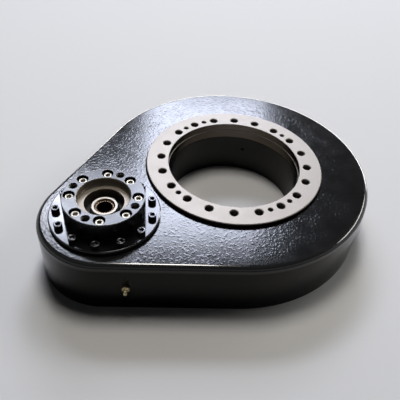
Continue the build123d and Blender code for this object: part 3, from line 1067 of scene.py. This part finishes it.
@dataclass(frozen=True)
class CapScrew:
    """M8 socket cap screw in millimetres, standing on its seat at z = 0."""

    length: float
    head_r: float = 6.5
    head_height: float = 8.0
    shank_r: float = 3.9
    socket_apothem: float = 3.0
    socket_depth: float = 4.2
    knurl_ridges: int = 36
    knurl_depth: float = 0.16
    steps: int = 72

    def shell(self) -> Shell:
        """Profile of rings from the socket floor over the head and down the shank.

        A ring's radius is a circle's, a hexagon's in the socket, or a circle's less a small
        cosine wave on the knurled side.

        Returns:
            One closed screw.
        """
        angles = full_turn(self.steps)
        socket = hexagon_radius(angles, self.socket_apothem)
        wave = 0.5 - 0.5 * np.cos(angles * self.knurl_ridges)
        knurl = 1 - self.knurl_depth / self.head_r * wave
        top = self.head_height
        floor = top - self.socket_depth
        rings = [
            # Socket: drilled point, floor, six walls and a turned chamfer at the mouth.
            (0.3, floor - 0.7),
            (socket * 0.97, floor),
            (socket, floor + 0.2),
            (socket, top - 0.45),
            (self.socket_apothem * 1.235, top - 0.06),
            (self.socket_apothem * 1.27, top),
            # Head: flat top, rounded rim, knurled side and a small radius above the seat.
            (self.head_r - 0.75, top),
            (self.head_r - 0.42, top - 0.10),
            (self.head_r - 0.16, top - 0.32),
            (self.head_r - 0.03, top - 0.62),
            (self.head_r * knurl, top - 1.0),
            (self.head_r * knurl, 1.3),
            (self.head_r - 0.03, 0.9),
            (self.head_r - 0.3, 0.0),
            # Shank with a chamfered end.
            (self.shank_r, 0.0),
            (self.shank_r, -self.length + 1.0),
            (self.shank_r - 0.9, -self.length),
        ]
        return profile_shell(rings, angles)


@dataclass(frozen=True)
class CountersunkScrew:
    """M8 countersunk screw in millimetres, driven up from a face at z = 0."""

    length: float
    head_r: float = 8.0
    shank_r: float = 3.9
    socket_apothem: float = 2.5
    socket_depth: float = 3.0
    steps: int = 48

    def shell(self) -> Shell:
        """Rings from the socket floor, over the flat head, up the cone and the shank.

        Returns:
            One closed screw.
        """
        angles = full_turn(self.steps)
        socket = hexagon_radius(angles, self.socket_apothem)
        rings = [
            # Socket: drilled point, floor, six walls and a turned chamfer at the mouth.
            (0.3, self.socket_depth + 0.6),
            (socket * 0.97, self.socket_depth),
            (socket, self.socket_depth - 0.2),
            (socket, 0.35),
            (self.socket_apothem * 1.24, 0.03),
            # Head: flat face just inside the plate, then the cone.
            (self.head_r - 0.5, 0.03),
            (self.head_r - 0.15, 0.2),
            (self.shank_r, self.head_r - self.shank_r),
            # Shank with a chamfered end.
            (self.shank_r, self.length - 0.9),
            (self.shank_r - 0.8, self.length),
        ]
        return profile_shell(rings, angles)


@dataclass(frozen=True)
class ThreadSleeve:
    """The first turns of a tapped hole, in millimetres, hanging down from z = 0.

    It is a thin closed sleeve: the outer wall is plain, and the inner wall is the thread.
    """

    hole_r: float
    pitch: float
    turns: float
    depth_share: float = 0.34
    run_in_share: float = 0.6
    wall_gap: float = 0.02
    wall: float = 0.01
    first_height: float = 0.15
    steps: int = 40
    samples: int = 6

    def shell(self) -> Shell:
        """Inner radius is the hole's less a triangle wave of height over pitch less turn.

        Returns:
            One closed sleeve.
        """
        angles = full_turn(self.steps)
        count = int(self.turns * self.samples) + 1
        height = -np.linspace(self.first_height, self.turns * self.pitch, count)
        phase = height[:, None] / self.pitch - angles[None, :] / (2 * pi)
        wave = 1 - np.abs(2 * np.mod(phase, 1.0) - 1)
        run_in = np.clip(-height[:, None] / (self.run_in_share * self.pitch), 0, 1)
        outer = self.hole_r - self.wall_gap
        inner = outer - self.depth_share * self.pitch * wave * run_in - self.wall
        radius = np.vstack([inner, np.full((2, self.steps), outer)])
        return loop_shell(turned_rows(radius, np.append(height, height[[-1, 0]]), angles))

    def piece(self, name: str, places: np.ndarray) -> bpy.types.Object:
        """Mesh object that holds one sleeve at each place, smooth along the thread's flanks."""
        return mesh_piece(name, self.shell().placed(places), sharp_degrees=60.0)


@dataclass(frozen=True)
class GreaseFitting:
    """Straight grease nipple in millimetres, pointing along +X from its seat at x = 0."""

    hexagon_apothem: float = 5.45
    hexagon_height: float = 5.4
    thread_r: float = 4.85
    thread_length: float = 7.7
    collar_r: float = 3.25
    neck_r: float = 2.25
    ball_r: float = 3.2
    ball_back: float = 2.3
    length: float = 14.9
    steps: int = 60

    def shell(self) -> Shell:
        """Rings along the fitting: thread, hexagon, tapered collar, neck and ball.

        The profile is made round Z, and (x, y, z) then becomes (z, x, y).

        Returns:
            The closed fitting.
        """
        angles = full_turn(self.steps)
        hexagon = hexagon_radius(angles, self.hexagon_apothem)
        chamfered = np.minimum(hexagon, self.hexagon_apothem * 1.07)
        ball = self.length - self.ball_back
        rings = [
            # Thread with a chamfered end, then the underside of the hexagon.
            (self.thread_r - 0.8, -self.thread_length),
            (self.thread_r, -self.thread_length + 0.8),
            (self.thread_r, 0.02),
            (self.hexagon_apothem * 0.98, 0.02),
            # Hexagon, chamfered at both ends.
            (chamfered, 0.35),
            (hexagon, 0.8),
            (hexagon, self.hexagon_height - 0.6),
            (chamfered, self.hexagon_height - 0.15),
            (self.hexagon_apothem * 0.96, self.hexagon_height),
            # Collar that tapers into the neck.
            (self.collar_r + 0.35, self.hexagon_height + 0.02),
            (self.collar_r, self.hexagon_height + 0.5),
            (self.collar_r - 0.15, self.hexagon_height + 1.9),
            (self.neck_r + 0.15, ball - 2.4),
            (self.neck_r, ball - 1.9),
            (self.neck_r + 0.1, ball - 1.35),
            # Ball that the grease gun grips, with the inlet sunk in its tip.
            (self.ball_r - 0.25, ball - 0.75),
            (self.ball_r, ball - 0.1),
            (self.ball_r - 0.05, ball + 0.45),
            (self.ball_r - 0.5, ball + 1.2),
            (self.ball_r - 1.2, ball + 1.9),
            (1.15, self.length),
            (0.8, self.length),
            (0.75, self.length - 0.6),
            (0.3, self.length - 0.8),
        ]
        upright = profile_shell(rings, angles)
        return Shell(upright.points[:, [2, 0, 1]], upright.quads, upright.triangles)


# --------------------------------------------------------------------------------------
# Sub-assemblies
# --------------------------------------------------------------------------------------


@dataclass
class Enclosure:
    """Cast housing and base plate with their screws, dowels and grease nipple."""

    wardrobe: Wardrobe
    ring_r: float = 0.238
    pinion_r: float = 0.106
    tangent_degrees: float = 121.868
    plate_screw: CountersunkScrew = CountersunkScrew(length=30.0)
    screw_inset: float = 0.014
    ring_screws: int = 7
    pinion_screws: int = 3
    transport_screw: CountersunkScrew = CountersunkScrew(length=25.0)
    transport_degrees: tuple[float, ...] = (18.0, 198.0)
    nipple_from_tangent: float = 0.173
    nipple_height: float = 0.051
    edge_round: float = 0.008
    edge_coat: float = 0.00003
    coat_depth: float = 0.0004
    coat_end_degrees: float = 80.0
    edge_steps: int = 25
    ring_steps: int = 163
    pinion_steps: int = 79

    def arcs(
        self, ring_steps: int, pinion_steps: int
    ) -> tuple[np.ndarray, np.ndarray, np.ndarray]:
        """Angle, centre along X and radius of points round the teardrop's two arcs.

        Angles run evenly from -t to t round the ring and from t to 2 pi - t round the pinion,
        where t is the tangent angle; flat walls join the arcs.

        Args:
            ring_steps: Number of points on the ring's arc.
            pinion_steps: Number of points on the pinion's arc.

        Returns:
            Three arrays (points).
        """
        tangent = radians(self.tangent_degrees)
        wide = np.linspace(-tangent, tangent, ring_steps)
        narrow = np.linspace(tangent, 2 * pi - tangent, pinion_steps)
        steps = [ring_steps, pinion_steps]
        centres = np.repeat([0.0, PINION_X], steps)
        radii = np.repeat([self.ring_r, self.pinion_r], steps)
        return np.concatenate([wide, narrow]), centres, radii

    def edge_rows(self) -> np.ndarray:
        """Section of the coat on the rounded top edge, carried round the teardrop.

        At outline angle a and section angle t, with depth d from the edge's own centre, a point
        stands at (centre_x + (r - round + d sin t) cos a, (r - round + d sin t) sin a) and at
        height top - round + d cos t. The coat follows the edge more evenly than the casting's
        own facets do, so that a reflection runs along it unbroken.

        Returns:
            Points (places, section steps, 3).
        """
        angles, centres, radii = self.arcs(self.ring_steps, self.pinion_steps)
        turn = np.linspace(0.0, radians(self.coat_end_degrees), self.edge_steps)
        section = np.concatenate([turn, turn[::-1]])
        outer = self.edge_round + self.edge_coat
        depth = np.repeat([outer, outer - self.coat_depth], self.edge_steps)
        across = radii[:, None] - self.edge_round + depth * np.sin(section)
        x = centres[:, None] + across * np.cos(angles)[:, None]
        y = across * np.sin(angles)[:, None]
        height = HOUSING_TOP - self.edge_round + depth * np.cos(section)
        return np.stack([x, y, np.broadcast_to(height, x.shape)], axis=-1)

    def screw_places(self) -> np.ndarray:
        """Screw places along the wall, even round each arc between its tangent points.

        Returns:
            Array (screws, 4, 4).
        """
        angles, centres, radii = self.arcs(self.ring_screws, self.pinion_screws)
        return ring_places(centres, radii - self.screw_inset, angles, 0.0)

    def nipple_place(self) -> np.ndarray:
        """Place that stands a piece built along +X on the front flat wall.

        The wall's outward normal is (cos t, -sin t), with t the tangent angle, and the piece
        stands at normal x ring_r plus the way towards the pinion x nipple_from_tangent.

        Returns:
            Array (1, 4, 4).
        """
        tangent = radians(self.tangent_degrees)
        normal = np.array([cos(tangent), -sin(tangent)])
        towards_pinion = np.array([normal[1], -normal[0]])
        place = normal * self.ring_r + towards_pinion * self.nipple_from_tangent
        height = self.nipple_height
        return upright_places(place[:1], place[1:], height, np.array([-tangent]))

    def build(self) -> None:
        """Dress the castings and build the edge's coat, the countersunk screws and the nipple."""
        self.wardrobe.dress_nodes(
            {
                "housing": Surface.CASTING,
                "base_plate": Surface.PLATE,
                "base_plate_dowels": Surface.BEARING,
            }
        )
        edge = mesh_piece("housing_edge_enamel", loop_shell(self.edge_rows()))
        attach(edge, "gearbox")
        self.wardrobe.dress(edge, Surface.EDGE)

        plate_screws = self.plate_screw.shell().placed(self.screw_places())
        screws = mesh_piece("plate_screw_set", plate_screws)
        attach(screws, "gearbox")
        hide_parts("base_plate_screws")
        self.wardrobe.dress(screws, Surface.BLACK_SCREW)

        places = ring_places(0.0, BOLT_CIRCLE_R, np.radians(self.transport_degrees), 0.0)
        transport = mesh_piece("transport_screw_pair", self.transport_screw.shell().placed(places))
        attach(transport, "gearbox")
        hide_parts("race_transport_screws")
        self.wardrobe.dress(transport, Surface.BLACK_SCREW)

        nipple = mesh_piece("grease_fitting", GreaseFitting().shell().placed(self.nipple_place()))
        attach(nipple, "gearbox")
        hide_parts("grease_nipple")
        self.wardrobe.dress(nipple, Surface.NIPPLE)


@dataclass
class SlewRing:
    """Output ring with its tapped holes, the fixed race, rollers and seals."""

    wardrobe: Wardrobe
    face_height: float = 0.105
    bolt_thread: ThreadSleeve = ThreadSleeve(hole_r=7.0, pitch=2.0, turns=8.0)
    bolt_chamfer: float = 0.001
    bolt_count: int = 20
    jack_thread: ThreadSleeve = ThreadSleeve(hole_r=4.25, pitch=1.5, turns=7.0, steps=32)
    jack_chamfer: float = 0.0008
    jack_degrees: tuple[float, ...] = (9.0, 99.0, 189.0, 279.0, 81.0, 261.0)
    race_thread: ThreadSleeve = ThreadSleeve(hole_r=5.1, pitch=1.75, turns=8.0, steps=36)
    race_count: int = 10
    plate_thickness: float = 0.012

    def build(self) -> None:
        """Dress the ring's nodes and put threads in its holes and in the race's."""
        self.wardrobe.dress_nodes(
            {
                "ring_gear": Surface.RING,
                "inner_race": Surface.RACE,
                "race_filling_plug": Surface.RACE,
                "filling_plug_pin": Surface.RACE,
                "inner_race_seal": Surface.RUBBER,
                "ring_seal": Surface.RUBBER,
                "crossed_rollers": Surface.RACE,
                "roller_spacers": Surface.NYLON,
            }
        )
        bolt_top = self.face_height - self.bolt_chamfer
        places = circle_places(0.0, BOLT_CIRCLE_R, self.bolt_count, 0.0, bolt_top)
        threads = self.bolt_thread.piece("ring_tapped_threads", places)
        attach(threads, "output_ring")
        self.wardrobe.dress(threads, Surface.THREAD)

        jack_top = self.face_height - self.jack_chamfer
        places = ring_places(0.0, BOLT_CIRCLE_R, np.radians(self.jack_degrees), jack_top)
        jack = self.jack_thread.piece("ring_jack_threads", places)
        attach(jack, "output_ring")
        self.wardrobe.dress(jack, Surface.THREAD)

        # The race's threads open downwards, so they are turned half round their own X axes.
        flipped = circle_places(0.0, BOLT_CIRCLE_R, self.race_count, 0.0, 0.0)
        flipped = flipped @ np.diag([1.0, -1.0, -1.0, 1.0])
        flipped[:, 2, 3] = self.plate_thickness
        below = self.race_thread.piece("race_tapped_threads", flipped)
        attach(below, "gearbox")
        self.wardrobe.dress(below, Surface.THREAD)


@dataclass
class DrivePinion:
    """Pinion shaft with its two roller bearings."""

    wardrobe: Wardrobe
    ends: tuple[str, ...] = ("lower", "upper")

    def build(self) -> None:
        """Dress the shaft and every piece of both bearings."""
        table = {"pinion_shaft": Surface.HUB}
        for end in self.ends:
            table[f"{end}_bearing_inner_ring"] = Surface.BEARING
            table[f"{end}_bearing_outer_ring"] = Surface.BEARING
            table[f"{end}_bearing_rollers"] = Surface.BEARING
            table[f"{end}_bearing_cage"] = Surface.BRASS
        self.wardrobe.dress_nodes(table)


@dataclass
class MotorMount:
    """Motor flange and adapter with their socket screws, seals and tapped holes."""

    wardrobe: Wardrobe
    flange_screw: CapScrew = CapScrew(length=25.0)
    flange_top: float = 0.105
    flange_circle_r: float = 0.0755
    flange_count: int = 13
    flange_first: float = -14.75
    adapter_screw: CapScrew = CapScrew(length=45.0)
    adapter_seat: float = 0.125
    adapter_circle_r: float = 0.0525
    adapter_count: int = 8
    adapter_first: float = 58.0
    motor_thread: ThreadSleeve = ThreadSleeve(hole_r=5.1, pitch=1.75, turns=9.0, steps=48)
    adapter_top: float = 0.1365
    motor_chamfer: float = 0.0018
    motor_circle_r: float = 0.0532
    motor_count: int = 4
    motor_first: float = 35.5

    def build(self) -> None:
        """Dress the flange, adapter and seals, then build the screws and threads."""
        self.wardrobe.dress_nodes(
            {
                "motor_flange": Surface.FLANGE,
                "motor_flange_seal": Surface.RUBBER,
                "shaft_seal": Surface.RUBBER,
                "motor_adapter": Surface.ADAPTER,
            }
        )
        places = circle_places(
            PINION_X, self.flange_circle_r, self.flange_count, self.flange_first, self.flange_top
        )
        black = mesh_piece("flange_cap_screws", self.flange_screw.shell().placed(places))
        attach(black, "gearbox")
        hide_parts("motor_flange_screws")
        self.wardrobe.dress(black, Surface.BLACK_SCREW)

        places = circle_places(
            PINION_X,
            self.adapter_circle_r,
            self.adapter_count,
            self.adapter_first,
            self.adapter_seat,
        )
        zinc = mesh_piece("adapter_cap_screws", self.adapter_screw.shell().placed(places))
        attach(zinc, "gearbox")
        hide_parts("motor_adapter_screws")
        self.wardrobe.dress(zinc, Surface.ZINC_SCREW)

        motor_top = self.adapter_top - self.motor_chamfer
        places = circle_places(
            PINION_X, self.motor_circle_r, self.motor_count, self.motor_first, motor_top
        )
        threads = self.motor_thread.piece("motor_tapped_threads", places)
        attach(threads, "gearbox")
        self.wardrobe.dress(threads, Surface.THREAD)


# --------------------------------------------------------------------------------------
# Studio
# --------------------------------------------------------------------------------------


class Ray(Enum):
    """Kinds of ray that a material or the world can tell apart."""

    CAMERA = "Is Camera Ray"
    MIRRORED = "Is Glossy Ray"
    REFRACTED = "Is Transmission Ray"


def seen_by(tree: bpy.types.NodeTree, *rays: Ray) -> bpy.types.NodeSocket:
    """Mask that is one for the named kinds of ray and zero for the others.

    Args:
        tree: Node tree that receives the nodes.
        rays: Kinds of ray that count.

    Returns:
        Socket that carries the mask.
    """
    path = add(tree, "ShaderNodeLightPath")
    mask = path.outputs[rays[0].value]
    for ray in rays[1:]:
        mask = combined(tree, "MAXIMUM", mask, path.outputs[ray.value])
    return mask


@dataclass
class Softbox:
    """A rectangular lamp aimed at the drive: degrees, metres, watts and an sRGB colour."""

    name: str
    azimuth: float
    elevation: float
    distance: float
    width: float
    height: float
    power: float
    colour: str

    def build(self, target: Vector) -> None:
        """Hang the lamp at its direction and turn it to face the target.

        Args:
            target: Point that the lamp faces.
        """
        lamp = bpy.data.lights.new(self.name, "AREA")
        lamp.shape = "RECTANGLE"
        lamp.size = self.width
        lamp.size_y = self.height
        lamp.energy = self.power
        lamp.color = linear(self.colour)[:3]
        azimuth, elevation = radians(self.azimuth), radians(self.elevation)
        level = cos(elevation)
        way = Vector((level * cos(azimuth), level * sin(azimuth), sin(elevation)))
        holder = bpy.data.objects.new(self.name, lamp)
        holder.location = target + way * self.distance
        holder.rotation_euler = (-way).to_track_quat("-Z", "Y").to_euler()
        holder.visible_camera = False
        bpy.context.scene.collection.objects.link(holder)
        log.info("lamp %s at %s", self.name, tuple(round(v, 3) for v in holder.location))


@dataclass
class Studio:
    """Pale floor, soft lamps, plain world and the camera."""

    floor_colour: str = "#cdcdcc"
    floor_half: float = 14.0
    floor_fade: tuple[float, float] = (1.3, 3.0)
    room_colour: str = "#dfe2e6"
    room_level: float = 0.02
    pale_colour: str = "#f0f1f2"
    pale_level: float = 0.72
    pale_to: float = 8.0
    dim_level: float = 0.13
    dim_from: float = 32.0
    target: tuple[float, float, float] = (-0.06, 0.0, HOUSING_TOP)
    eye: tuple[float, float, float] = (-0.45308, -0.52425, 0.65214)
    right: tuple[float, float, float] = (0.8361958, -0.54523813, 0.05909293)
    up: tuple[float, float, float] = (0.33795314, 0.59713964, 0.72746954)
    forward: tuple[float, float, float] = (0.43193086, 0.58833633, -0.68359059)
    lens: float = 44.392
    sensor_width: float = 36.0
    clip_start: float = 0.01
    lamps: list[Softbox] = field(
        default_factory=lambda: [
            Softbox("far_softbox", 54.0, 36.6, 7.0, 1.86, 1.60, 165.0, "#e4ebff"),
            Softbox("near_softbox", 61.5, 45.4, 7.0, 3.40, 0.92, 180.0, "#e4ebff"),
            Softbox("left_softbox", 80.0, 43.0, 7.0, 1.15, 0.66, 25.0, "#f2f5ff"),
            Softbox("top_softbox", 64.0, 75.5, 3.0, 0.70, 0.92, 44.0, "#fffaf4"),
            Softbox("right_softbox", -9.0, 34.0, 7.0, 4.70, 0.66, 116.0, "#fffdf8"),
            Softbox("rim_strip", 45.0, 5.0, 8.0, 14.0, 1.20, 960.0, "#ffffff"),
        ]
    )

    def floor(self) -> None:
        """Lay one flat square under the drive.

        To the camera and to mirrors it fades, over a span of radius, into the pale tone that
        the world has at its horizon.
        """
        corners = np.array([[-1, -1, 0], [1, -1, 0], [1, 1, 0], [-1, 1, 0]], dtype=float)
        sheet = mesh_piece("floor", Shell(corners * self.floor_half, np.array([[0, 1, 2, 3]])))
        material = bpy.data.materials.new("matt_floor")
        tree = empty_tree(material)
        surface = {
            "Base Color": linear(self.floor_colour),
            "Roughness": 1.0,
            "Specular IOR Level": 0.0,
        }
        matt = add(tree, "ShaderNodeBsdfPrincipled", inputs=surface)
        pale = {0: linear(self.pale_colour), 1: self.pale_level}
        horizon = add(tree, "ShaderNodeEmission", inputs=pale)
        away = ramp(tree, axis_fields(tree, 0.0).radius, self.floor_fade, smooth=True)
        share = combined(tree, "MULTIPLY", away, seen_by(tree, Ray.CAMERA, Ray.MIRRORED))
        blend = {0: share, 1: matt.outputs[0], 2: horizon.outputs[0]}
        blend_shader = add(tree, "ShaderNodeMixShader", inputs=blend)
        add(tree, "ShaderNodeOutputMaterial", inputs={"Surface": blend_shader.outputs[0]})
        sheet.data.materials.append(material)

    def world(self) -> None:
        """Room that lights the object dimly, and looks pale to the camera and to mirrors.

        The pale side fades from pale_level to dim_level as a direction rises from pale_to to
        dim_from degrees.
        """
        world = bpy.data.worlds.new("studio_room")
        tree = empty_tree(world)
        dim = {0: linear(self.room_colour), 1: self.room_level}
        room = add(tree, "ShaderNodeBackground", inputs=dim)
        toward = add(tree, "ShaderNodeTexCoord")
        rise = add(tree, "ShaderNodeSeparateXYZ", inputs={0: toward.outputs["Generated"]})
        span = (sin(radians(self.pale_to)), sin(radians(self.dim_from)))
        levels = (self.pale_level, self.dim_level)
        fade = ramp(tree, rise.outputs["Z"], span, levels, smooth=True)
        pale = {0: linear(self.pale_colour), 1: fade}
        seen = add(tree, "ShaderNodeBackground", inputs=pale)
        share = seen_by(tree, Ray.CAMERA, Ray.MIRRORED, Ray.REFRACTED)
        blend = {0: share, 1: room.outputs[0], 2: seen.outputs[0]}
        pick = add(tree, "ShaderNodeMixShader", inputs=blend)
        add(tree, "ShaderNodeOutputWorld", inputs={"Surface": pick.outputs[0]})
        bpy.context.scene.world = world

    def camera(self) -> None:
        """Stand the camera at the eye with its own right, up and forward directions."""
        camera = bpy.data.cameras.new("camera")
        camera.lens = self.lens
        camera.sensor_width = self.sensor_width
        camera.clip_start = self.clip_start
        holder = bpy.data.objects.new("camera", camera)
        back = tuple(-part for part in self.forward)
        rows = zip(self.right, self.up, back, self.eye)
        holder.matrix_world = Matrix([*rows, (0.0, 0.0, 0.0, 1.0)])
        bpy.context.scene.collection.objects.link(holder)
        bpy.context.scene.camera = holder

    def build(self) -> None:
        """Set the view, then make floor, world, lamps and camera."""
        bpy.context.scene.view_settings.view_transform = "Standard"
        self.floor()
        self.world()
        for lamp in self.lamps:
            lamp.build(Vector(self.target))
        self.camera()


def main() -> None:
    """Build every sub-assembly in order."""
    logging.basicConfig(level=logging.INFO, format="%(name)s: %(message)s")
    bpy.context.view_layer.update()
    wardrobe = Wardrobe()
    Studio().build()
    Enclosure(wardrobe).build()
    SlewRing(wardrobe).build()
    DrivePinion(wardrobe).build()
    MotorMount(wardrobe).build()


if __name__ == "__main__":
    main()
